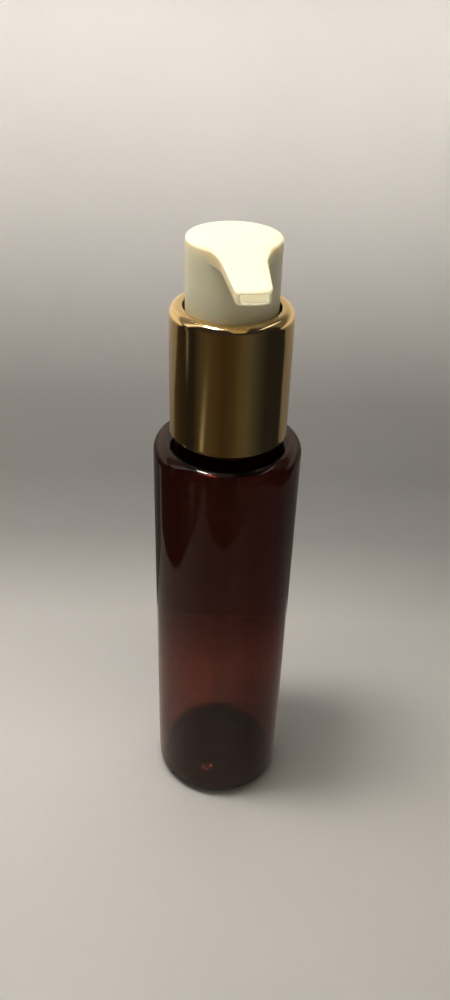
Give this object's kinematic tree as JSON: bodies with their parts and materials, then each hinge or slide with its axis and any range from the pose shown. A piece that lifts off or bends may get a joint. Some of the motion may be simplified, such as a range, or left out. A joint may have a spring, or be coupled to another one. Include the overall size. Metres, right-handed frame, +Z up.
{
  "type": "pump oil bottle",
  "caption": "Slim amber cylinder bottle with a screw-on gold metal collar and an ivory press-down pump head whose short sloping spout doses oil drawn up through a dip tube.",
  "frame": {"origin": "centre of the flat standing ring under the bottle, on the table", "axes": "+Z up along the bottle's axis, spout towards -Y"},
  "size_m": [0.036, 0.0401, 0.1632],
  "materials": {
    "amber_pet": "gloss, dark reddish-brown transparent PET",
    "natural_pe": "natural translucent polyethylene",
    "natural_pp": "natural polypropylene",
    "steel": "drawn stainless steel",
    "white_pom": "smooth white",
    "white_pe": "smooth white, slightly waxy",
    "gasket": "matt foamed polyethylene",
    "white_pp": "moulded white",
    "gold_aluminium": "polished, gold anodised",
    "ivory_pp": "smooth ivory, slightly translucent"
  },
  "bodies": {
    "bottle": {"bottle": "amber_pet"},
    "pump": {"pump_housing": "natural_pp", "chaplet": "natural_pp", "neck_gasket": "gasket", "dip_tube": "natural_pe", "return_spring": "steel"},
    "closure": {"screw_closure": "white_pp", "collar_shell": "gold_aluminium"},
    "plunger": {"stem": "white_pom", "poppet": "white_pom"},
    "head": {"actuator": "ivory_pp"},
    "piston": {"piston": "white_pe"},
    "ball": {"inlet_ball": "steel"}
  },
  "joints": [
    {"name": "pump_lift", "type": "slide", "parent": "bottle", "child": "pump", "axis": [0, 0, 1], "range_m": [0, 0.00476]},
    {"name": "closure_turn", "type": "hinge", "parent": "pump", "child": "closure", "pos_m": [0, 0, 0.13], "axis": [0, 0, 1], "range_deg": [0, 540]},
    {"name": "press", "type": "slide", "parent": "pump", "child": "plunger", "axis": [0, 0, -1], "range_m": [0, 0.006], "stiffness_N_per_m": 600, "springref_m": -0.006, "deforming": ["return_spring"]},
    {"name": "head_swivel", "type": "hinge", "parent": "plunger", "child": "head", "pos_m": [0, 0, 0.15], "axis": [0, 0, 1], "continuous": true},
    {"name": "piston_slide", "type": "slide", "parent": "pump", "child": "piston", "axis": [0, 0, -1], "range_m": [0, 0.0052]},
    {"name": "ball_lift", "type": "slide", "parent": "pump", "child": "ball", "axis": [0, 0, 1], "range_m": [0, 0.0013]}
  ],
  "couplings": [
    {"joint": "closure_turn", "follows": "pump_lift", "rad_per_m": 1978.9},
    {"joint": "piston_slide", "follows": "press", "ratio": 0.86667}
  ]
}
